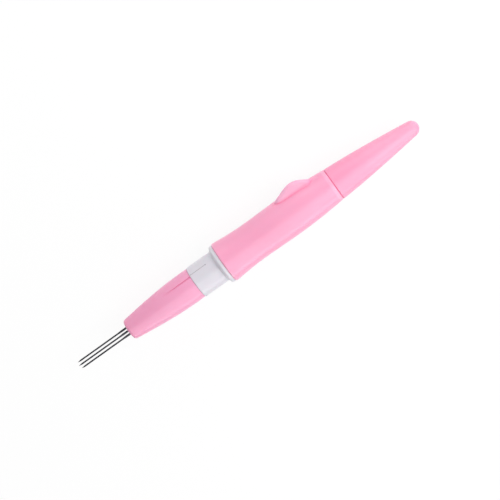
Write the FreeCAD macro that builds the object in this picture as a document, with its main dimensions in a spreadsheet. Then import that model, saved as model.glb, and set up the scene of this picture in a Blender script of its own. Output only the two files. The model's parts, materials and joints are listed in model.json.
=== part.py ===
# Felting needle pen: a hollow pink handle with a roll stop, a white needle holder that screws
# into its front end, a pink nose cone with guide holes, barbed needles held by their
# cranked ends under a round stopper, and a tapered needle cap pushed on to the rear spigot.
#
# Every piece is drawn along the pen's own axis: x runs from the needle points to the cap's end,
# and the roll stop stands towards +z. The finished pieces are then laid down as the pen rests.
# Lengths are millimetres and angles are degrees.

import FreeCAD, Part
import os
import Sketcher

Vector = FreeCAD.Vector

os.makedirs("parts", exist_ok=True)
document = FreeCAD.newDocument("felting_needle_pen")

# Driving dimensions

DIMENSIONS = [
    # lengths along the pen, one after the other from the needle points
    ("needle_reach", 24.4),
    ("grip_length", 32.9),
    ("sleeve_length", 11.7),
    ("flange_width", 1.9),
    ("handle_length", 53.5),
    ("cap_length", 40.5),
    # nose cone
    ("nose_radius", 4.5),
    ("nose_round", 1.3),
    ("nose_slope", 0.125),
    ("nose_wall", 6.0),
    ("grip_radius", 6.69),
    ("grip_widest_before_seam", 4.2),
    ("grip_rear_drop", 0.06),
    ("grip_rear_slope", 0.02),
    ("grip_edge", 0.3),
    ("grip_core_radius", 3.2),
    ("groove_width", 0.7),
    ("groove_depth", 0.35),
    ("groove_length", 16.0),
    ("groove_angle", 27.0),
    # needle holder
    ("sleeve_radius", 6.88),
    ("sleeve_chamfer", 0.25),
    ("sleeve_root", 0.5),
    ("flange_radius", 8.52),
    ("flange_round", 1.1),
    ("flange_chamfer", 0.15),
    ("socket_radius", 4.8),
    ("plug_length", 11.5),
    ("plug_chamfer", 0.5),
    ("push_clearance", 0.05),
    ("screw_radius", 5.35),
    ("screw_length", 7.2),
    ("screw_chamfer", 0.5),
    ("screw_clearance", 0.1),
    ("mark_length", 7.6),
    ("mark_width", 0.2),
    ("mark_dot_radius", 0.28),
    ("mark_depth", 0.12),
    ("mark_angle", 32.0),
    # needles
    ("needle_ring_radius", 1.63),
    ("needle_turn", 90.0),
    ("shank_radius", 0.915),
    ("shank_taper", 3.0),
    ("shank_clearance", 0.05),
    ("crank_radius", 1.0),
    ("crank_reach", 2.5),
    ("collar_radius", 0.45),
    ("collar_show", 2.4),
    ("collar_taper", 1.8),
    ("guide_clearance", 0.08),
    ("blade_radius", 0.36),
    ("blade_flat", 0.2),
    ("point_length", 1.6),
    ("point_radius", 0.04),
    ("barb_first", 3.4),
    ("barb_stagger", 0.7),
    ("barb_pitch", 2.1),
    ("barb_rows", 3),
    ("barb_length", 0.42),
    ("barb_depth", 0.1),
    ("barb_lip", 0.05),
    ("barb_throat_share", 0.85),
    # stopper
    ("stopper_radius", 4.2),
    ("stopper_thickness", 2.0),
    ("stopper_clearance", 0.1),
    ("stopper_recess", 2.4),
    ("knob_radius", 1.6),
    ("knob_length", 3.5),
    ("knob_round", 0.5),
    # handle
    ("rim_radius", 8.82),
    ("rim_round", 0.6),
    ("rim_slope", 0.1),
    ("waist_radius", 7.95),
    ("waist_at", 15.1),
    ("belly_radius", 8.16),
    ("belly_at", 30.1),
    ("rear_radius", 7.04),
    ("rear_slope", 0.1),
    ("rear_round", 0.6),
    ("bore_depth", 8.4),
    ("bore_chamfer", 0.3),
    ("core_front_radius", 5.0),
    ("core_rear_radius", 3.6),
    ("spigot_radius", 5.2),
    ("spigot_length", 8.0),
    ("spigot_chamfer", 0.6),
    ("spigot_end_wall", 1.8),
    # roll stop on the handle
    ("stop_before_tail", 14.4),
    ("stop_crest", 10.48),
    ("stop_crest_round", 8.5),
    ("stop_front_angle", 19.0),
    ("stop_rear_angle", 30.0),
    ("stop_plan_front", 25.2),
    ("stop_plan_rear", 4.8),
    ("stop_half_width", 5.35),
    ("stop_plan_corner", 4.6),
    ("stop_edge_round", 1.8),
    ("stop_root", 1.0),
    # cap
    ("mouth_radius", 6.97),
    ("mouth_slope", 0.06),
    ("mouth_round", 0.3),
    ("mouth_chamfer", 0.3),
    ("tip_slope", 0.125),
    ("tip_radius", 3.25),
    ("tip_wall", 2.0),
    ("cap_clearance", 0.1),
    ("cap_core_end_radius", 2.1),
    ("cap_seat_spare", 0.8),
    # how far a cut starts outside the surface that it cuts
    ("cut_past", 1.0),
    # how the pen lies: the roll stop's direction, turned about the axis from straight down
    ("rest_roll", 72.0),
]

sizes = document.addObject("Spreadsheet::Sheet", "sizes")
for row, (alias, value) in enumerate(DIMENSIONS, start=1):
    sizes.set(f"A{row}", alias)
    sizes.set(f"B{row}", str(value))
    sizes.setAlias(f"B{row}", alias)
document.recompute()


def number(expression):
    """Value of an expression over the sheet's cells."""
    return float(sizes.evalExpression(expression))


# Stations along the axis

NOSE = "sizes.needle_reach"
SEAM = f"{NOSE} + sizes.grip_length"
FLANGE = f"{SEAM} + sizes.sleeve_length"
JOINT = f"{FLANGE} + sizes.flange_width"
TAIL = f"{JOINT} + sizes.handle_length"
END = f"{TAIL} + sizes.cap_length"
SCREW_END = f"{JOINT} + sizes.screw_length"
RECESS_FLOOR = f"{SCREW_END} - sizes.stopper_recess"
CRANK_AT = f"{RECESS_FLOOR} - sizes.shank_clearance - sizes.shank_radius"
PLUG_START = f"{SEAM} - sizes.plug_length"

# First needle's place in its ring, seen along the axis, and how far the roll stop sticks out
# sideways as the pen lies

FIRST_Y = "-sizes.needle_ring_radius * sin(sizes.needle_turn)"
FIRST_Z = "sizes.needle_ring_radius * cos(sizes.needle_turn)"
STOP_OUT = ("(sizes.stop_crest - sizes.stop_edge_round) * sin(sizes.rest_roll)"
            " + (sizes.stop_half_width - sizes.stop_edge_round) * cos(sizes.rest_roll)"
            " + sizes.stop_edge_round")


# Sketch helpers

def plane_of(body, role):
    """The body's own origin plane or axis with this role."""
    return next(item for item in body.Origin.OriginFeatures if item.Role == role)


def new_body(label):
    body = document.addObject("PartDesign::Body", label)
    body.Label = label
    return body


def new_sketch(body, name, role):
    sketch = body.newObject("Sketcher::SketchObject", name)
    sketch.AttachmentSupport = [(plane_of(body, role), "")]
    sketch.MapMode = "FlatFace"
    return sketch


def hold(sketch, geometry, point, x, y):
    """Hold a sketch point at two expressions."""
    for axis, kind, expression in (("x", "DistanceX", x), ("y", "DistanceY", y)):
        name = f"{axis}_{geometry}_{point}"
        constraint = Sketcher.Constraint(kind, geometry, point, number(expression))
        index = sketch.addConstraint(constraint)
        sketch.renameConstraint(index, name)
        sketch.setExpression(f"Constraints.{name}", expression)


def hold_radius(sketch, geometry, expression):
    name = f"radius_{geometry}"
    index = sketch.addConstraint(Sketcher.Constraint("Radius", geometry, number(expression)))
    sketch.renameConstraint(index, name)
    sketch.setExpression(f"Constraints.{name}", expression)


def trace(sketch, corners):
    """Closed outline. Each corner is (x, y) or (x, y, edge), where the edge leads on to the next
    corner: ("arc", radius, centre x, centre y) or ("curve", slope here, slope there)."""
    count = len(corners)
    places = [Vector(number(corner[0]), number(corner[1]), 0) for corner in corners]
    curves = []
    ends = []
    for index, corner in enumerate(corners):
        start = places[index]
        stop = places[(index + 1) % count]
        edge = corner[2] if len(corner) > 2 else ("line",)
        if edge[0] == "arc":
            centre = Vector(number(edge[2]), number(edge[3]), 0)
            outward = (start + stop) * 0.5 - centre
            outward.normalize()
            middle = centre + outward * number(edge[1])
            geometry = sketch.addGeometry(Part.Arc(start, middle, stop), False)
            swapped = sketch.getPoint(geometry, 1).distanceToPoint(start) > 1e-6
            ends.append((geometry, 2, 1) if swapped else (geometry, 1, 2))
        elif edge[0] == "curve":
            third = (stop.x - start.x) / 3
            near = Vector(start.x + third, start.y + third * number(edge[1]), 0)
            far = Vector(stop.x - third, stop.y - third * number(edge[2]), 0)
            poles = [start, near, far, stop]
            spline = Part.BSplineCurve(poles, None, None, False, 3, None, False)
            geometry = sketch.addGeometry(spline, False)
            curves.append((geometry, index, edge))
            ends.append((geometry, 1, 2))
        else:
            geometry = sketch.addGeometry(Part.LineSegment(start, stop), False)
            ends.append((geometry, 1, 2))
    for index, corner in enumerate(corners):
        geometry, first, last = ends[index]
        following, following_first, following_last = ends[(index + 1) % count]
        join = Sketcher.Constraint("Coincident", geometry, last, following, following_first)
        sketch.addConstraint(join)
        hold(sketch, geometry, first, corner[0], corner[1])
        if len(corner) > 2 and corner[2][0] == "arc":
            hold_radius(sketch, geometry, corner[2][1])
    for geometry, index, edge in curves:
        x0, y0 = corners[index][:2]
        x1, y1 = corners[(index + 1) % count][:2]
        third = f"(({x1}) - ({x0})) / 3"
        pole = sketch.GeometryCount
        sketch.exposeInternalGeometry(geometry)
        hold(sketch, pole + 1, 3, f"{x0} + {third}", f"{y0} + {third} * ({edge[1]})")
        hold(sketch, pole + 2, 3, f"{x1} - {third}", f"{y1} - {third} * ({edge[2]})")


def circle(sketch, x, y, radius):
    centre = Vector(number(x), number(y), 0)
    geometry = sketch.addGeometry(Part.Circle(centre, Vector(0, 0, 1), number(radius)), False)
    hold(sketch, geometry, 3, x, y)
    hold_radius(sketch, geometry, radius)


def box_outline(sketch, x0, x1, y0, y1):
    trace(sketch, [(x0, y0), (x1, y0), (x1, y1), (x0, y1)])


def turned(body, name, corners):
    """A solid of revolution about the pen's axis."""
    sketch = new_sketch(body, f"{name}_section", "XZ_Plane")
    trace(sketch, corners)
    feature = body.newObject("PartDesign::Revolution", name)
    feature.Profile = sketch
    feature.ReferenceAxis = (sketch, ["H_Axis"])
    feature.Angle = 360
    return feature


def pocket(body, name, sketch, length=None, reverse=False, both_ways=False):
    """Cut a sketch through the body, or to a length."""
    feature = body.newObject("PartDesign::Pocket", name)
    feature.Profile = sketch
    feature.Reversed = reverse
    feature.Midplane = both_ways
    if length is None:
        feature.Type = "ThroughAll"
    else:
        feature.Type = "Length"
        feature.setExpression("Length", length)
    return feature


def around(body, name, features, count):
    """Repeat features evenly about the pen's axis."""
    pattern = body.newObject("PartDesign::PolarPattern", name)
    pattern.Originals = features
    pattern.Axis = (plane_of(body, "X_Axis"), [""])
    pattern.Angle = 360
    pattern.Occurrences = count
    body.Tip = pattern
    return pattern


def turned_about_axis(angle):
    return FreeCAD.Placement(Vector(), FreeCAD.Rotation(Vector(1, 0, 0), angle))


def lift_plane(sketch, angle, height):
    """Stand a sketch on the plane at this height above the axis, in the direction that lies
    this angle from -y towards +z."""
    sketch.AttachmentOffset = turned_about_axis(90)
    sketch.setExpression("AttachmentOffset.Base.y", f"-cos({angle}) * ({height})")
    sketch.setExpression("AttachmentOffset.Base.z", f"sin({angle}) * ({height})")
    sketch.setExpression("AttachmentOffset.Rotation.Angle", f"90 - ({angle})")


NEEDLES = 3


# Nose cone: a thick nose with guide holes, a hollow behind it and a socket for the holder

def make_front_grip():
    body = new_body("front_grip")
    lean = "sqrt(1 + sizes.nose_slope ^ 2)"
    corner_x = f"{NOSE} + sizes.nose_round * (1 - sizes.nose_slope / {lean})"
    core_y = f"sizes.nose_radius - sizes.nose_round / {lean}"
    widest = f"{SEAM} - sizes.grip_widest_before_seam"
    rear = "sizes.grip_radius - sizes.grip_rear_drop"
    core_at = f"{NOSE} + sizes.nose_wall"
    turned(body, "grip_turned", [
        (NOSE, "0"),
        (NOSE, core_y, ("arc", "sizes.nose_round", f"{NOSE} + sizes.nose_round", core_y)),
        (corner_x, "sizes.nose_radius", ("curve", "sizes.nose_slope", "0")),
        (widest, "sizes.grip_radius", ("curve", "0", "-sizes.grip_rear_slope")),
        (f"{SEAM} - sizes.grip_edge", rear,
         ("arc", "sizes.grip_edge", f"{SEAM} - sizes.grip_edge", f"{rear} - sizes.grip_edge")),
        (SEAM, f"{rear} - sizes.grip_edge"),
        (SEAM, "sizes.socket_radius"),
        (f"{PLUG_START} - sizes.plug_chamfer", "sizes.socket_radius"),
        (core_at, "sizes.grip_core_radius"),
        (core_at, "0"),
    ])

    hole = new_sketch(body, "guide_hole_sketch", "YZ_Plane")
    circle(hole, FIRST_Y, FIRST_Z, "sizes.collar_radius + sizes.guide_clearance")
    guide = pocket(body, "guide_hole", hole, both_ways=True)
    around(body, "guide_holes", [guide], NEEDLES)

    slot = new_sketch(body, "groove_sketch", "XY_Plane")
    half = "sizes.groove_width / 2"
    box_outline(slot, f"{SEAM} - sizes.groove_length", f"{SEAM} + sizes.cut_past", f"-{half}", half)
    lift_plane(slot, "sizes.groove_angle", "sizes.grip_radius - sizes.groove_depth")
    pocket(body, "index_groove", slot, reverse=True)
    return body


# Needle holder: plug, white sleeve, flange and screwed shank in one piece, with a bore and a
# crank slot for each needle and a recess for the stopper

def make_needle_holder():
    body = new_body("needle_holder")
    plug = "sizes.socket_radius - sizes.push_clearance"
    neck = f"{FLANGE} - sizes.sleeve_root"
    round_at = f"{FLANGE} + sizes.flange_round"
    shoulder = "sizes.flange_radius - sizes.flange_round"
    recess = "sizes.stopper_radius + sizes.stopper_clearance"
    turned(body, "holder_turned", [
        (PLUG_START, "0"),
        (PLUG_START, f"{plug} - sizes.plug_chamfer"),
        (f"{PLUG_START} + sizes.plug_chamfer", plug),
        (SEAM, plug),
        (SEAM, "sizes.sleeve_radius - sizes.sleeve_chamfer"),
        (f"{SEAM} + sizes.sleeve_chamfer", "sizes.sleeve_radius"),
        (neck, "sizes.sleeve_radius"),
        (FLANGE, "sizes.sleeve_radius + sizes.sleeve_root"),
        (FLANGE, shoulder, ("arc", "sizes.flange_round", round_at, shoulder)),
        (round_at, "sizes.flange_radius"),
        (f"{JOINT} - sizes.flange_chamfer", "sizes.flange_radius"),
        (JOINT, "sizes.flange_radius - sizes.flange_chamfer"),
        (JOINT, "sizes.screw_radius"),
        (f"{SCREW_END} - sizes.screw_chamfer", "sizes.screw_radius"),
        (SCREW_END, "sizes.screw_radius - sizes.screw_chamfer"),
        (SCREW_END, recess),
        (RECESS_FLOOR, recess),
        (RECESS_FLOOR, "0"),
    ])

    bore_sketch = new_sketch(body, "bore_sketch", "YZ_Plane")
    bore_radius = "(sizes.shank_radius + sizes.shank_clearance)"
    circle(bore_sketch, FIRST_Y, FIRST_Z, bore_radius)
    bore = pocket(body, "shank_bore", bore_sketch, both_ways=True)
    slot_sketch = new_sketch(body, "slot_sketch", "XZ_Plane")
    slot_floor = f"{CRANK_AT} - {bore_radius}"
    slot_end = "sizes.needle_ring_radius + sizes.crank_reach + sizes.shank_clearance"
    box_outline(slot_sketch, slot_floor, f"{RECESS_FLOOR} + sizes.cut_past",
                "sizes.needle_ring_radius", slot_end)
    slot_sketch.AttachmentOffset = turned_about_axis(90)
    slot_sketch.setExpression("AttachmentOffset.Rotation.Angle", "sizes.needle_turn")
    slot = pocket(body, "crank_slot", slot_sketch, f"2 * {bore_radius}", both_ways=True)
    around(body, "needle_seats", [bore, slot], NEEDLES)

    mark = new_sketch(body, "mark_sketch", "XY_Plane")
    half = "sizes.mark_width / 2"
    box_outline(mark, f"{SEAM} - sizes.cut_past", f"{SEAM} + sizes.mark_length", f"-{half}", half)
    lift_plane(mark, "sizes.mark_angle", "sizes.sleeve_radius - sizes.mark_depth")
    pocket(body, "index_line", mark, "sizes.mark_depth * 2", reverse=True)
    dot = new_sketch(body, "dot_sketch", "XY_Plane")
    circle(dot, f"{SEAM} + sizes.mark_length", "0", "sizes.mark_dot_radius")
    lift_plane(dot, "sizes.mark_angle", "sizes.sleeve_radius - sizes.mark_depth")
    pocket(body, "index_dot", dot, "sizes.mark_depth * 2", reverse=True)
    return body


# Needle: cranked round shank, thinner collar, three-sided barbed blade and a fine point

def make_needle(label):
    body = new_body(label)
    point_end = "sizes.point_length"
    blade_end = f"{NOSE} - sizes.collar_show - sizes.collar_taper"
    collar_start = f"{NOSE} - sizes.collar_show"
    collar_end = f"{PLUG_START} - sizes.shank_taper"
    bend_start = f"{CRANK_AT} - sizes.crank_radius"
    turned(body, "needle_turned", [
        ("0", "0"),
        ("0", "sizes.point_radius"),
        (point_end, "sizes.blade_radius"),
        (blade_end, "sizes.blade_radius"),
        (collar_start, "sizes.collar_radius"),
        (collar_end, "sizes.collar_radius"),
        (PLUG_START, "sizes.shank_radius"),
        (bend_start, "sizes.shank_radius"),
        (bend_start, "0"),
    ])

    flat_sketch = new_sketch(body, "flat_sketch", "XY_Plane")
    width = "2 * sizes.blade_radius"
    box_outline(flat_sketch, "-sizes.cut_past", blade_end, f"-{width}", width)
    flat_sketch.setExpression("AttachmentOffset.Base.z", "sizes.blade_flat")
    flat = pocket(body, "blade_flat", flat_sketch, reverse=True)
    around(body, "blade_flats", [flat], 3)

    # a notch falls gently from the point's side and ends in a steep throat that catches fibre
    for edge in range(3):
        notch = new_sketch(body, f"barb_sketch_{edge + 1}", "XZ_Plane")
        start = f"sizes.barb_first + {edge} * sizes.barb_stagger"
        throat = f"{start} + sizes.barb_length * sizes.barb_throat_share"
        crest = "-sizes.blade_radius - sizes.barb_lip"
        trace(notch, [
            (start, crest),
            (f"{start} + sizes.barb_length", crest),
            (throat, "-sizes.blade_radius + sizes.barb_depth"),
        ])
        notch.AttachmentOffset = turned_about_axis(edge * 120)
        cut = pocket(body, f"barb_{edge + 1}", notch, "2 * sizes.blade_radius", both_ways=True)
        row = body.newObject("PartDesign::LinearPattern", f"barb_row_{edge + 1}")
        row.Originals = [cut]
        row.Direction = (plane_of(body, "X_Axis"), [""])
        row.setExpression("Length", "sizes.barb_pitch * (sizes.barb_rows - 1)")
        row.setExpression("Occurrences", "sizes.barb_rows")
        body.Tip = row

    bend_sketch = new_sketch(body, "bend_sketch", "YZ_Plane")
    circle(bend_sketch, "0", "-sizes.crank_radius", "sizes.shank_radius")
    bend_sketch.setExpression("AttachmentOffset.Base.y", "sizes.crank_radius")
    bend_sketch.setExpression("AttachmentOffset.Base.z", bend_start)
    bend = body.newObject("PartDesign::Revolution", "crank_bend")
    bend.Profile = bend_sketch
    bend.ReferenceAxis = (bend_sketch, ["H_Axis"])
    bend.Angle = 90
    bend.Reversed = True
    arm_sketch = new_sketch(body, "arm_sketch", "XY_Plane")
    circle(arm_sketch, CRANK_AT, "0", "sizes.shank_radius")
    arm_sketch.setExpression("AttachmentOffset.Base.z", "sizes.crank_radius")
    arm = body.newObject("PartDesign::Pad", "crank_arm")
    arm.Profile = arm_sketch
    arm.setExpression("Length", "sizes.crank_reach - sizes.crank_radius")
    return body


# Stopper: a round lid over the cranks, with a knob to pull it out by

def make_needle_stopper():
    body = new_body("needle_stopper")
    face = f"{RECESS_FLOOR} + sizes.stopper_clearance"
    back = f"{face} + sizes.stopper_thickness"
    top = f"{back} + sizes.knob_length"
    round_at = f"{top} - sizes.knob_round"
    inner = "sizes.knob_radius - sizes.knob_round"
    turned(body, "stopper_turned", [
        (face, "0"),
        (face, "sizes.stopper_radius"),
        (back, "sizes.stopper_radius"),
        (back, "sizes.knob_radius"),
        (round_at, "sizes.knob_radius", ("arc", "sizes.knob_round", round_at, inner)),
        (top, inner),
        (top, "0"),
    ])
    return body


# Roll stop: a wedge with a rounded crest over an oblong plan with round corners. It starts
# inside the handle, before the handle is hollowed.

def make_roll_stop():
    crest_at = f"({TAIL} - sizes.stop_before_tail)"
    crest_round = "sizes.stop_crest_round"
    centre_y = f"sizes.stop_crest - {crest_round}"
    front_x = f"{crest_at} - {crest_round} * sin(sizes.stop_front_angle)"
    front_y = f"{centre_y} + {crest_round} * cos(sizes.stop_front_angle)"
    rear_x = f"{crest_at} + {crest_round} * sin(sizes.stop_rear_angle)"
    rear_y = f"{centre_y} + {crest_round} * cos(sizes.stop_rear_angle)"
    root = "sizes.stop_root"
    foot = f"{front_x} - ({front_y} - {root}) / tan(sizes.stop_front_angle)"
    heel = f"{rear_x} + ({rear_y} - {root}) / tan(sizes.stop_rear_angle)"

    side = document.addObject("Sketcher::SketchObject", "stop_side")
    side.Placement = turned_about_axis(90)
    trace(side, [
        (foot, root),
        (front_x, front_y, ("arc", crest_round, crest_at, centre_y)),
        (rear_x, rear_y),
        (heel, root),
    ])
    block = document.addObject("Part::Extrusion", "stop_block")
    block.Base = side
    block.DirMode = "Custom"
    block.Dir = Vector(0, 1, 0)
    block.Symmetric = True
    block.Solid = True
    block.setExpression("LengthFwd", "4 * sizes.stop_half_width")

    front = f"{TAIL} - sizes.stop_plan_front"
    rear = f"{TAIL} - sizes.stop_plan_rear"
    half = "sizes.stop_half_width"
    corner = "sizes.stop_plan_corner"
    inner_half = f"({half} - {corner})"
    plan = document.addObject("Sketcher::SketchObject", "stop_plan")
    trace(plan, [
        (f"{front} + {corner}", f"-{half}"),
        (f"{rear} - {corner}", f"-{half}",
         ("arc", corner, f"{rear} - {corner}", f"-{inner_half}")),
        (rear, f"-{inner_half}"),
        (rear, inner_half, ("arc", corner, f"{rear} - {corner}", inner_half)),
        (f"{rear} - {corner}", half),
        (f"{front} + {corner}", half,
         ("arc", corner, f"{front} + {corner}", inner_half)),
        (front, inner_half),
        (front, f"-{inner_half}",
         ("arc", corner, f"{front} + {corner}", f"-{inner_half}")),
    ])
    column = document.addObject("Part::Extrusion", "stop_column")
    column.Base = plan
    column.DirMode = "Custom"
    column.Dir = Vector(0, 0, 1)
    column.Solid = True
    column.setExpression("LengthFwd", "2 * sizes.stop_crest")

    wedge = document.addObject("Part::Common", "stop_wedge")
    wedge.Base = block
    wedge.Tool = column
    document.recompute()

    rounded = document.addObject("Part::Fillet", "stop_rounded")
    rounded.Base = wedge
    radius = number("sizes.stop_edge_round")
    top_edges = []
    for index, edge in enumerate(wedge.Shape.Edges, start=1):
        middle = edge.valueAt((edge.FirstParameter + edge.LastParameter) / 2)
        across = abs(edge.tangentAt((edge.FirstParameter + edge.LastParameter) / 2).y) > 0.99
        if middle.z > number(root) + 0.01 and not across:
            top_edges.append((index, radius, radius))
    rounded.Edges = top_edges
    return rounded


# Handle: one hollow moulding with the roll stop on its side and a closed spigot for the cap

def make_handle():
    outside = new_body("handle_outside")
    rim_at = f"{JOINT} + sizes.rim_round"
    rim = "sizes.rim_radius - sizes.rim_round"
    rear_at = f"{TAIL} - sizes.rear_round"
    bore = "sizes.screw_radius + sizes.screw_clearance"
    bore_end = f"{JOINT} + sizes.bore_depth"
    spigot_end = f"{TAIL} + sizes.spigot_length"
    core_end = f"{spigot_end} - sizes.spigot_end_wall"
    turned(outside, "handle_turned", [
        (JOINT, "0"),
        (JOINT, rim, ("arc", "sizes.rim_round", rim_at, rim)),
        (rim_at, "sizes.rim_radius", ("curve", "-sizes.rim_slope", "0")),
        (f"{JOINT} + sizes.waist_at", "sizes.waist_radius", ("curve", "0", "0")),
        (f"{JOINT} + sizes.belly_at", "sizes.belly_radius", ("curve", "0", "-sizes.rear_slope")),
        (rear_at, "sizes.rear_radius",
         ("arc", "sizes.rear_round", rear_at, "sizes.rear_radius - sizes.rear_round")),
        (TAIL, "sizes.rear_radius - sizes.rear_round"),
        (TAIL, "sizes.spigot_radius"),
        (f"{spigot_end} - sizes.spigot_chamfer", "sizes.spigot_radius"),
        (spigot_end, "sizes.spigot_radius - sizes.spigot_chamfer"),
        (spigot_end, "0"),
    ])
    solid = document.addObject("Part::Fuse", "handle_solid")
    solid.Base = outside
    solid.Tool = make_roll_stop()

    hollow = new_body("handle_hollow")
    turned(hollow, "hollow_turned", [
        (f"{JOINT} - sizes.cut_past", "0"),
        (f"{JOINT} - sizes.cut_past", f"{bore} + sizes.bore_chamfer + sizes.cut_past"),
        (f"{JOINT} + sizes.bore_chamfer", bore),
        (bore_end, bore),
        (bore_end, "sizes.core_front_radius"),
        (core_end, "sizes.core_rear_radius"),
        (core_end, "0"),
    ])
    handle = document.addObject("Part::Cut", "handle")
    handle.Base = solid
    handle.Tool = hollow
    return handle


# Cap: a tapered hollow cone with a domed tip, wide enough inside for the needles and the nose

def make_cap():
    body = new_body("cap")
    lean = "sqrt(1 + sizes.tip_slope ^ 2)"
    dome_centre = f"{END} - sizes.tip_radius"
    dome_x = f"{dome_centre} + sizes.tip_radius * sizes.tip_slope / {lean}"
    dome_y = f"sizes.tip_radius / {lean}"
    seat = "sizes.spigot_radius + sizes.cap_clearance"
    seat_end = f"{TAIL} + sizes.spigot_length + sizes.cap_seat_spare"
    floor = f"{END} - sizes.tip_wall"
    core_centre = f"{floor} - sizes.cap_core_end_radius"
    mouth_at = f"{TAIL} + sizes.mouth_round"
    lip = "sizes.mouth_radius - sizes.mouth_round"
    turned(body, "cap_turned", [
        (TAIL, f"{seat} + sizes.mouth_chamfer"),
        (TAIL, lip, ("arc", "sizes.mouth_round", mouth_at, lip)),
        (mouth_at, "sizes.mouth_radius", ("curve", "-sizes.mouth_slope", "-sizes.tip_slope")),
        (dome_x, dome_y, ("arc", "sizes.tip_radius", dome_centre, "0")),
        (END, "0"),
        (floor, "0", ("arc", "sizes.cap_core_end_radius", core_centre, "0")),
        (core_centre, "sizes.cap_core_end_radius"),
        (seat_end, seat),
        (f"{TAIL} + sizes.mouth_chamfer", seat),
    ])
    return body


def lay_down(piece, turn="0", offset="0"):
    """Rest placement: the piece is turned about the pen's axis, then lies on the handle's rim
    with the roll stop's direction rest_roll from straight down. offset lifts the piece off the
    pen's axis before that, towards +z."""
    angle = f"sizes.rest_roll - 180 + {turn}"
    piece.Placement = turned_about_axis(90)
    piece.setExpression("Placement.Rotation.Angle", angle)
    piece.setExpression("Placement.Base.x", f"-({END}) / 2")
    middle_y = f"({STOP_OUT} - sizes.rim_radius) / 2"
    piece.setExpression("Placement.Base.y", f"-({middle_y}) - sin({angle}) * ({offset})")
    piece.setExpression("Placement.Base.z", f"sizes.rim_radius + cos({angle}) * ({offset})")


pieces = [make_front_grip(), make_needle_holder(), make_needle_stopper(), make_handle(), make_cap()]
for piece in pieces:
    lay_down(piece)
for index in range(NEEDLES):
    needle = make_needle(f"needle_{index + 1}")
    lay_down(needle, f"sizes.needle_turn + {index * 360 // NEEDLES}", "sizes.needle_ring_radius")
    pieces.append(needle)
document.recompute()

faults = []
for item in document.Objects:
    if "Invalid" in item.State or "Error" in item.State:
        faults.append(f"{item.Label} is {item.State}")
for piece in pieces:
    if piece.Shape.isNull() or not piece.Shape.isValid() or len(piece.Shape.Solids) != 1:
        faults.append(f"{piece.Label} has a faulty shape")
if faults:
    raise SystemExit("\n".join(faults))

for piece in pieces:
    piece.Shape.exportStep(f"parts/{piece.Label}.step")
    print(f"{piece.Label}: {piece.Shape.Volume:.1f} mm3")
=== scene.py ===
# Looks of the felting needle pen: moulded pink and white plastics, hardened steel needles and the
# screw thread of the needle holder, set in a plain white studio with the photograph's camera.
# Lengths are metres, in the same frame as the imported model.

import json
import math

import bmesh
import bpy
from mathutils import Matrix, Vector


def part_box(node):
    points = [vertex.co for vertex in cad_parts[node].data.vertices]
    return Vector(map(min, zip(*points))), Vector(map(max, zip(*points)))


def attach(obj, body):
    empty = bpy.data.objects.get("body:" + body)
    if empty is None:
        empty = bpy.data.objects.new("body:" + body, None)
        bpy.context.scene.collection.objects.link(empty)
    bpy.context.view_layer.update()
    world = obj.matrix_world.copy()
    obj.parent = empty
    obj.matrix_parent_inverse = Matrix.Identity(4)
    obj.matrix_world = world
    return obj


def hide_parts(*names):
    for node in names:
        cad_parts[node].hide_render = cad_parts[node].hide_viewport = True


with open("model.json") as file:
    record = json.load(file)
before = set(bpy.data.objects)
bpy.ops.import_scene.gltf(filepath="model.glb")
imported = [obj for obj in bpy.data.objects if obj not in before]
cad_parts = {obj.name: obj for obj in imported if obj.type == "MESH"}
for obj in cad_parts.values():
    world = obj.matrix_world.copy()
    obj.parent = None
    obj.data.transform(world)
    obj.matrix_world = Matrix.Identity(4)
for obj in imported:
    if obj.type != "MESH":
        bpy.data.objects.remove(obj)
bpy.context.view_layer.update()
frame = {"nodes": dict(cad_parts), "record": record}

MM = 0.001
nodes = frame["nodes"]
record = frame["record"]
scene = bpy.context.scene


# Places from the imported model: the pen's axis, the ends of the pieces along it, the sleeve's
# radius and the pitch of the holder's screw

cap_low, cap_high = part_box("cap")
AXIS_Y = (cap_low.y + cap_high.y) / 2
AXIS_Z = (cap_low.z + cap_high.z) / 2
CAP_X = cap_low.x
CAP_TIP_X = cap_high.x
JOINT_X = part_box("handle")[0].x
SLEEVE_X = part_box("front_grip")[1].x
SCREW_END_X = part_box("needle_holder")[1].x
SLEEVE_RADIUS = next(mount["dims"]["r_mm"] * MM for mount in record["mounts"]
                     if mount["name"] == "rack_collar")
TRAVEL_A_RADIAN = next(coupling["ratio"] for coupling in record["behaviour"]["couplings"]
                       if coupling["follows"] == "holder_screw")
THREAD_PITCH = math.tau * TRAVEL_A_RADIAN


# Colours, written as on a screen

def linear(red, green, blue):
    """A screen colour, 0 to 255, in the shader's linear values."""
    def value(channel):
        share = channel / 255
        return share / 12.92 if share <= 0.04045 else ((share + 0.055) / 1.055) ** 2.4
    return tuple(value(channel) for channel in (red, green, blue))


# Each plastic's plain colour, the deeper one of its clouds, and the painted shade put in its
# seams, creases and grooves
HANDLE_PINKS = (linear(250, 168, 200), linear(248, 163, 196), linear(253, 128, 170))
CAP_PINKS = (linear(250, 162, 195), linear(248, 157, 191), linear(255, 112, 160))
GRIP_PINKS = (linear(250, 169, 204), linear(246, 162, 197), linear(239, 143, 183))
WHITES = (linear(222, 219, 227), linear(217, 214, 222), linear(216, 213, 220))

# Paler pink of painted light on the handle's roll stop, lip and rim
PAINTED_LIGHT_PINK = linear(251, 181, 210)
# Paler pink of painted light towards the cap's tip
TIP_LIGHT_PINK = linear(252, 178, 200)
MARK_GREY = linear(176, 172, 180)
STEEL_DARK = linear(40, 40, 44)
STEEL_LIGHT = linear(70, 70, 75)
FLOOR_PALE = linear(244, 244, 244)


# Node kit

def new_material(name):
    """A node material, its tree and its Principled shader."""
    material = bpy.data.materials.new(name)
    material.use_nodes = True
    tree = material.node_tree
    return material, tree, tree.nodes["Principled BSDF"]


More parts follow.
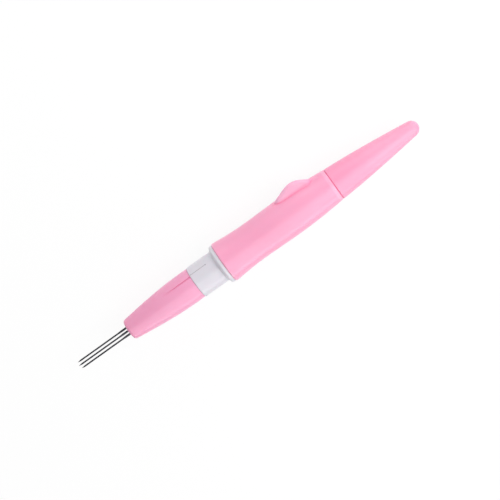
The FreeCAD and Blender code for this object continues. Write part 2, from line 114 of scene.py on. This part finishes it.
def own_place(tree):
    """Places on the object, in its own coordinates."""
    return tree.nodes.new("ShaderNodeTexCoord").outputs["Object"]


def noise(tree, scale, detail, stretch=(1.0, 1.0, 1.0)):
    """Soft noise of this scale, with the place stretched along each axis first."""
    mapping = tree.nodes.new("ShaderNodeMapping")
    mapping.inputs["Scale"].default_value = stretch
    tree.links.new(own_place(tree), mapping.inputs["Vector"])
    texture = tree.nodes.new("ShaderNodeTexNoise")
    texture.inputs["Scale"].default_value = scale
    texture.inputs["Detail"].default_value = detail
    tree.links.new(mapping.outputs["Vector"], texture.inputs["Vector"])
    return texture.outputs["Fac"]


def ranged(tree, value, low, high, to_low, to_high):
    """The value, moved from one range to another and held inside it."""
    node = tree.nodes.new("ShaderNodeMapRange")
    node.inputs["From Min"].default_value = low
    node.inputs["From Max"].default_value = high
    node.inputs["To Min"].default_value = to_low
    node.inputs["To Max"].default_value = to_high
    tree.links.new(value, node.inputs["Value"])
    return node.outputs["Result"]


def mixed(tree, share, first, second):
    """A colour between two, each a colour or a node's output."""
    node = tree.nodes.new("ShaderNodeMix")
    node.data_type = "RGBA"
    tree.links.new(share, node.inputs["Factor"])
    for name, colour in (("A", first), ("B", second)):
        socket = next(s for s in node.inputs if s.name == name and s.type == "RGBA")
        if isinstance(colour, tuple):
            socket.default_value = (*colour, 1.0)
        else:
            tree.links.new(colour, socket)
    return next(s for s in node.outputs if s.type == "RGBA")


def calculated(tree, operation, first, second=0.0):
    """One sum over two values, each a number or a node's output."""
    node = tree.nodes.new("ShaderNodeMath")
    node.operation = operation
    for socket, value in zip(node.inputs, (first, second)):
        if isinstance(value, (int, float)):
            socket.default_value = value
        else:
            tree.links.new(value, socket)
    return node.outputs["Value"]


def bumped(tree, shader, layers):
    """Bumps on the shader, each layer (height, distance in metres, strength)."""
    last = None
    for height, distance, strength in layers:
        node = tree.nodes.new("ShaderNodeBump")
        node.inputs["Distance"].default_value = distance
        node.inputs["Strength"].default_value = strength
        tree.links.new(height, node.inputs["Height"])
        if last:
            tree.links.new(last, node.inputs["Normal"])
        last = node.outputs["Normal"]
    tree.links.new(last, shader.inputs["Normal"])


def along_and_from_axis(tree):
    """Place along the pen, and distance from its axis."""
    split = tree.nodes.new("ShaderNodeSeparateXYZ")
    tree.links.new(own_place(tree), split.inputs["Vector"])
    across = calculated(tree, "SUBTRACT", split.outputs["Y"], AXIS_Y)
    up = calculated(tree, "SUBTRACT", split.outputs["Z"], AXIS_Z)
    squares = calculated(tree, "ADD", calculated(tree, "POWER", across, 2.0),
                         calculated(tree, "POWER", up, 2.0))
    return split.outputs["X"], calculated(tree, "SQRT", squares)


# Moulded plastic

CLOUD_SCALE = 42
CLOUD_DETAIL = 3.0
CLOUD_EDGES = (0.35, 0.65)
GLOSS_EDGES = (0.3, 0.7)
GLOSSIER_BY = 0.02
DULLER_BY = 0.03

RIPPLE_SCALE = 60
RIPPLE_STRETCH = (0.6, 1.0, 1.0)
RIPPLE_HEIGHT = 0.03 * MM
RIPPLE_STRENGTH = 0.15
GRAIN_SCALE = 5200
GRAIN_DETAIL = 2.0
GRAIN_HEIGHT = 0.003 * MM
GRAIN_STRENGTH = 0.4

PLASTIC_IOR = 1.49
SCATTER_BY_COLOUR = (1.0, 0.45, 0.6)
SCATTER_DEPTH = 1.2 * MM
OPENNESS_SAMPLES = 8

# Painted shade in recesses: how far a recess shuts light out, and the openness from its floor,
# where the shade colour is full, to the plain wall
SEAM_SHADE = (0.6 * MM, 0.45, 0.95)
CREASE_SHADE = (1.5 * MM, 0.80, 0.99)


def plastic(name, colours, see_through, roughness, marked=None, recess=SEAM_SHADE):
    """Glossy moulded plastic: slow clouds between two colours, painted shade (a third colour) in
    seams, creases and grooves where the openness is low, slightly uneven gloss, a fine grain
    and the slow ripples of a thick wall. marked is a function that adds this piece's own marks
    or painted light."""
    colour, deep, shade = colours
    reach, floor, wall = recess
    material, tree, shader = new_material(name)
    clouds = noise(tree, CLOUD_SCALE, CLOUD_DETAIL)
    tone = mixed(tree, ranged(tree, clouds, *CLOUD_EDGES, 0.0, 1.0), colour, deep)
    openness = tree.nodes.new("ShaderNodeAmbientOcclusion")
    openness.inputs["Distance"].default_value = reach
    openness.samples = OPENNESS_SAMPLES
    # Painted shade: the third colour is mixed in where the openness is low, in seams, creases and
    # grooves
    painted_shade_share = ranged(tree, openness.outputs["AO"], floor, wall, 1.0, 0.0)
    tone = mixed(tree, painted_shade_share, tone, shade)
    if marked:
        tone = marked(tree, tone)
    tree.links.new(tone, shader.inputs["Base Color"])
    gloss = ranged(tree, clouds, *GLOSS_EDGES, roughness - GLOSSIER_BY, roughness + DULLER_BY)
    tree.links.new(gloss, shader.inputs["Roughness"])
    bumped(tree, shader, [
        (noise(tree, RIPPLE_SCALE, 0.0, RIPPLE_STRETCH), RIPPLE_HEIGHT, RIPPLE_STRENGTH),
        (noise(tree, GRAIN_SCALE, GRAIN_DETAIL), GRAIN_HEIGHT, GRAIN_STRENGTH),
    ])
    shader.inputs["IOR"].default_value = PLASTIC_IOR
    shader.inputs["Subsurface Weight"].default_value = see_through
    shader.inputs["Subsurface Radius"].default_value = SCATTER_BY_COLOUR
    shader.inputs["Subsurface Scale"].default_value = SCATTER_DEPTH
    return material


# The index line and dot on the sleeve

MARK_SEEN = 0.03 * MM
MARK_FROM_RIM = 0.3 * MM
MARK_REACH = 8.2 * MM


def index_mark(tree, tone):
    """Grey in the index line and dot, which are sunk into the sleeve."""
    along, out = along_and_from_axis(tree)
    sunk = calculated(tree, "LESS_THAN", out, SLEEVE_RADIUS - MARK_SEEN)
    behind_rim = calculated(tree, "GREATER_THAN", along, SLEEVE_X + MARK_FROM_RIM)
    near_rim = calculated(tree, "LESS_THAN", along, SLEEVE_X + MARK_REACH)
    inside = calculated(tree, "MULTIPLY", sunk, calculated(tree, "MULTIPLY", behind_rim, near_rim))
    return mixed(tree, inside, tone, MARK_GREY)


# Painted light on the handle: paler pink standing in for light through the roll stop's thin fin,
# from this far before the cap and this far from the axis, a painted highlight on the lip that
# meets the cap, and painted light lifting the shade on the rim that meets the flange

STOP_REACH = 27.0 * MM
STOP_ROOT = 8.3 * MM
STOP_BODY = 9.0 * MM
LIP_START = 2.0 * MM
LIP_FULL = 1.3 * MM
LIP_FADES = 0.5 * MM
LIP_END = 0.2 * MM
LIP_RADIUS = 6.2 * MM
LIP_HIGHLIGHT_SHARE = 0.75
RIM_REACH = 0.9 * MM
RIM_LIGHT_SHARE = 0.6


def painted_light_edges(tree, tone):
    """Painted light: paler pink on the roll stop where it stands clear of the handle's wall, a
    painted highlight on the rounded lip that meets the cap, and painted light on the rim that
    meets the flange."""
    along, out = along_and_from_axis(tree)
    near_cap = calculated(tree, "GREATER_THAN", along, CAP_X - STOP_REACH)
    proud = ranged(tree, out, STOP_ROOT, STOP_BODY, 0.0, 1.0)
    stop_light = calculated(tree, "MULTIPLY", proud, near_cap)
    rises = ranged(tree, along, CAP_X - LIP_START, CAP_X - LIP_FULL, 0.0, 1.0)
    falls = ranged(tree, along, CAP_X - LIP_FADES, CAP_X - LIP_END, 1.0, 0.0)
    before_spigot = calculated(tree, "GREATER_THAN", out, LIP_RADIUS)
    lip_highlight = calculated(tree, "MULTIPLY", calculated(tree, "MULTIPLY", rises, falls), before_spigot)
    lip_highlight = calculated(tree, "MULTIPLY", lip_highlight, LIP_HIGHLIGHT_SHARE)
    rim_light = ranged(tree, along, JOINT_X, JOINT_X + RIM_REACH, RIM_LIGHT_SHARE, 0.0)
    edges = calculated(tree, "MAXIMUM", lip_highlight, rim_light)
    # Painted light: the roll stop, the lip and the rim take the paler pink
    return mixed(tree, calculated(tree, "MAXIMUM", stop_light, edges), tone, PAINTED_LIGHT_PINK)


# Painted light towards the cap's tip

TIP_REACH = 42.0 * MM
TIP_LIGHT_SHARE = 0.3


def painted_tip_light(tree, tone):
    """Painted light: paler pink towards the narrow tip of the cap, standing in for light that
    shines through it.
    """
    along = along_and_from_axis(tree)[0]
    share = ranged(tree, along, CAP_TIP_X - TIP_REACH, CAP_TIP_X, 0.0, TIP_LIGHT_SHARE)
    return mixed(tree, share, tone, TIP_LIGHT_PINK)


# Needle wire

STREAK_SCALE = 2600
STREAK_DETAIL = 3.0
STREAK_STRETCH = (0.02, 1.0, 1.0)
STREAK_EDGES = (0.3, 0.7)
STREAK_HEIGHT = 0.004 * MM
STREAK_STRENGTH = 0.4
STEEL_ROUGHNESS = (0.22, 0.38)


def steel(name):
    """Dark polished wire: drawing marks along the needle and a bright sheen."""
    material, tree, shader = new_material(name)
    streaks = noise(tree, STREAK_SCALE, STREAK_DETAIL, STREAK_STRETCH)
    shade = mixed(tree, ranged(tree, streaks, *STREAK_EDGES, 0.0, 1.0), STEEL_DARK, STEEL_LIGHT)
    tree.links.new(shade, shader.inputs["Base Color"])
    gloss = ranged(tree, streaks, *STREAK_EDGES, *STEEL_ROUGHNESS)
    tree.links.new(gloss, shader.inputs["Roughness"])
    bumped(tree, shader, [(streaks, STREAK_HEIGHT, STREAK_STRENGTH)])
    shader.inputs["Metallic"].default_value = 1.0
    return material


# A finish for every node. Each plastic has its share of light that scatters inside it, and its
# roughness.

PINK_SCATTER = 0.25
PALE_SCATTER = 0.2
GLOSSY = 0.30
SATIN = 0.37

# Every plastic has painted shade in its recesses; the handle's and the cap's marks add painted
# light
FINISHES = {
    "handle": plastic("handle_pink", HANDLE_PINKS, PINK_SCATTER, GLOSSY, painted_light_edges, CREASE_SHADE),
    "cap": plastic("cap_pink", CAP_PINKS, PINK_SCATTER, SATIN, painted_tip_light),
    "front_grip": plastic("grip_pink", GRIP_PINKS, PALE_SCATTER, GLOSSY),
    "needle_holder": plastic("holder_white", WHITES, PALE_SCATTER, GLOSSY, index_mark),
    "needle_stopper": plastic("stopper_white", WHITES, PALE_SCATTER, GLOSSY),
}
needle_steel = steel("needle_steel")


def dress(mesh, material):
    """Give the whole mesh this one material."""
    mesh.materials.clear()
    mesh.materials.append(material)
    for polygon in mesh.polygons:
        polygon.material_index = 0


for name, node in nodes.items():
    dress(node.data, FINISHES.get(name, needle_steel))


# Screw thread: a right-hand groove of wedge section, cut around the holder's shank

THREAD_DEPTH = 0.45 * MM
THREAD_MOUTH = 0.95 * MM
THREAD_ROOT = 0.35 * MM
THREAD_NECK = 1.0 * MM
THREAD_PROUD = 0.1 * MM
TURNS_PAST_END = 0.5
STEPS_A_TURN = 48
MERGE_NEARER = 0.0002 * MM
SHARP_ANGLE = math.radians(28)


def shank_radius():
    """The widest place of the holder's shank, away from its neck."""
    return max(math.hypot(corner.co.y - AXIS_Y, corner.co.z - AXIS_Z)
               for corner in nodes["needle_holder"].data.vertices
               if corner.co.x > JOINT_X + 2 * THREAD_NECK)


def new_object(name, mesh):
    """An object of this mesh, in the scene."""
    piece = bpy.data.objects.new(name, mesh)
    scene.collection.objects.link(piece)
    return piece


def groove_cutter():
    """A closed ribbon that winds around the axis and widens outwards."""
    crest = shank_radius()
    spread = (THREAD_MOUTH - THREAD_ROOT) / 2 / THREAD_DEPTH
    half_root = THREAD_ROOT / 2
    half_mouth = THREAD_MOUTH / 2 + spread * THREAD_PROUD
    section = (
        (-half_mouth, crest + THREAD_PROUD),
        (half_mouth, crest + THREAD_PROUD),
        (half_root, crest - THREAD_DEPTH),
        (-half_root, crest - THREAD_DEPTH),
    )
    start = JOINT_X + THREAD_NECK + half_mouth
    turns = (SCREW_END_X - start) / THREAD_PITCH + TURNS_PAST_END
    shape = bmesh.new()
    rings = []
    for step in range(round(turns * STEPS_A_TURN) + 1):
        turned = step / STEPS_A_TURN
        angle = math.tau * turned
        ring = [shape.verts.new((start + turned * THREAD_PITCH + along,
                                 AXIS_Y + out * math.cos(angle),
                                 AXIS_Z + out * math.sin(angle)))
                for along, out in section]
        rings.append(ring)
    for ring, following in zip(rings, rings[1:]):
        for index in range(len(section)):
            beside = (index + 1) % len(section)
            shape.faces.new((ring[index], ring[beside], following[beside], following[index]))
    shape.faces.new(rings[0])
    shape.faces.new(rings[-1])
    bmesh.ops.triangulate(shape, faces=shape.faces)
    bmesh.ops.recalc_face_normals(shape, faces=shape.faces)
    mesh = bpy.data.meshes.new("groove_cutter")
    shape.to_mesh(mesh)
    shape.free()
    return new_object("groove_cutter", mesh)


def welded_copy(node, name):
    """A new object with the node's mesh, its faces joined where their corners meet."""
    shape = bmesh.new()
    shape.from_mesh(node.data)
    bmesh.ops.remove_doubles(shape, verts=shape.verts, dist=MERGE_NEARER)
    mesh = bpy.data.meshes.new(name)
    shape.to_mesh(mesh)
    shape.free()
    return new_object(name, mesh)


def cut_with(piece, cutter):
    """Cut the cutter's form out of the piece, and delete the cutter."""
    cut = piece.modifiers.new("thread", "BOOLEAN")
    cut.operation = "DIFFERENCE"
    cut.solver = "EXACT"
    cut.object = cutter
    bpy.context.view_layer.update()
    view = bpy.context.evaluated_depsgraph_get()
    cut_mesh = bpy.data.meshes.new_from_object(piece.evaluated_get(view))
    piece.modifiers.clear()
    piece.data = cut_mesh
    bpy.data.objects.remove(cutter)


def make_threaded_holder():
    """The needle holder again, with the thread on its shank."""
    holder = welded_copy(nodes["needle_holder"], "threaded_holder")
    cut_with(holder, groove_cutter())
    mesh = holder.data
    if "custom_normal" in mesh.attributes:
        mesh.attributes.remove(mesh.attributes["custom_normal"])
    mesh.shade_smooth()
    mesh.set_sharp_from_angle(angle=SHARP_ANGLE)
    dress(mesh, FINISHES["needle_holder"])
    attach(holder, "front")
    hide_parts("needle_holder")


# Studio: a pale floor, soft panels of light and a white surround

AMBIENT = 0.58
FLOOR_SIZE = 4.0
FLOOR_ROUGHNESS = 0.9
FLOOR_GLOW = 1.02
FLOOR_GLOW_SHARE = 0.88

# Each light's place, the place that it points at, its two sides and its power in watts
LIGHTS = {
    "softbox": ((0.21, -0.05, 0.27), (0.02, 0, 0), (0.32, 0.26), 0.58),
    "fill": ((0.22, 0.28, 0.10), (0.04, 0, 0), (0.45, 0.20), 0.41),
    "low_fill": ((-0.02, -0.40, 0.12), (0.0, 0, 0), (0.45, 0.12), 0.36),
    "gloss_card": ((0.0, -0.27, 0.42), (0.0, 0, 0), (0.90, 0.90), 4.1),
}
ONLY_IN_GLOSS = "gloss_card"


def white_for_the_eye(tree, output, shader, strength=1.0, share=1.0):
    """Show plain white to the camera and in reflections, in place of this share of the shader."""
    path = tree.nodes.new("ShaderNodeLightPath")
    seen = calculated(tree, "MAXIMUM", path.outputs["Is Camera Ray"],
                      path.outputs["Is Glossy Ray"])
    seen = calculated(tree, "MAXIMUM", seen, path.outputs["Is Transmission Ray"])
    seen = calculated(tree, "MULTIPLY", seen, share)
    glow = tree.nodes.new("ShaderNodeEmission")
    glow.inputs["Strength"].default_value = strength
    mix = tree.nodes.new("ShaderNodeMixShader")
    tree.links.new(seen, mix.inputs["Fac"])
    tree.links.new(shader, mix.inputs[1])
    tree.links.new(glow.outputs["Emission"], mix.inputs[2])
    tree.links.new(mix.outputs["Shader"], output.inputs["Surface"])


def make_floor():
    half = FLOOR_SIZE / 2
    corners = [(-half, -half, 0), (half, -half, 0), (half, half, 0), (-half, half, 0)]
    mesh = bpy.data.meshes.new("floor")
    mesh.from_pydata(corners, [], [(0, 1, 2, 3)])
    material, tree, shader = new_material("floor_white")
    shader.inputs["Base Color"].default_value = (*FLOOR_PALE, 1.0)
    shader.inputs["Roughness"].default_value = FLOOR_ROUGHNESS
    output = tree.nodes["Material Output"]
    white_for_the_eye(tree, output, shader.outputs["BSDF"], FLOOR_GLOW, FLOOR_GLOW_SHARE)
    mesh.materials.append(material)
    new_object("floor", mesh)


def make_world():
    world = bpy.data.worlds.new("studio")
    world.use_nodes = True
    tree = world.node_tree
    background = tree.nodes["Background"]
    background.inputs["Color"].default_value = (1.0, 1.0, 1.0, 1.0)
    background.inputs["Strength"].default_value = AMBIENT
    white_for_the_eye(tree, tree.nodes["World Output"], background.outputs["Background"])
    scene.world = world


def area_light(name, place, target, size, power):
    """A soft panel that the camera doesn't see."""
    data = bpy.data.lights.new(name, "AREA")
    data.shape = "RECTANGLE"
    data.size, data.size_y = size
    data.energy = power
    light = new_object(name, data)
    light.location = place
    light.rotation_mode = "QUATERNION"
    light.rotation_quaternion = (Vector(place) - Vector(target)).to_track_quat("Z", "Y")
    light.visible_diffuse = name != ONLY_IN_GLOSS
    light.visible_camera = False


# Camera: it looks down on the lying pen, square to the cap's seam, with the pen aslant in view

ELEVATION = math.radians(72.0)
PEN_ASLANT = math.radians(35.56)
CAMERA_DISTANCE = 0.66
ACROSS_VIEW = 0.198
CENTRE_BEFORE_CAP = 42.1 * MM
CENTRE_ASIDE = -1.95 * MM
SENSOR = 36.0


def make_camera():
    along = Vector((1, 0, 0))
    back = Vector((0, math.cos(ELEVATION), math.sin(ELEVATION)))
    aside = back.cross(along)
    up = math.sin(PEN_ASLANT) * along + math.cos(PEN_ASLANT) * aside
    axis_point = Vector((0, AXIS_Y, AXIS_Z))
    eye = axis_point + CAP_X * along + CAMERA_DISTANCE * back
    centre = axis_point + (CAP_X - CENTRE_BEFORE_CAP) * along + CENTRE_ASIDE * aside
    depth = (eye - centre).normalized()
    right = up.cross(depth).normalized()
    data = bpy.data.cameras.new("camera")
    data.sensor_width = SENSOR
    data.lens = SENSOR * (eye - centre).length / ACROSS_VIEW
    camera = new_object("camera", data)
    turn = Matrix((right, depth.cross(right), depth)).transposed().to_4x4()
    camera.matrix_world = Matrix.Translation(eye) @ turn
    scene.camera = camera


make_threaded_holder()
make_floor()
make_world()
for name, (place, target, size, power) in LIGHTS.items():
    area_light(name, place, target, size, power)
make_camera()
scene.view_settings.view_transform = "Standard"
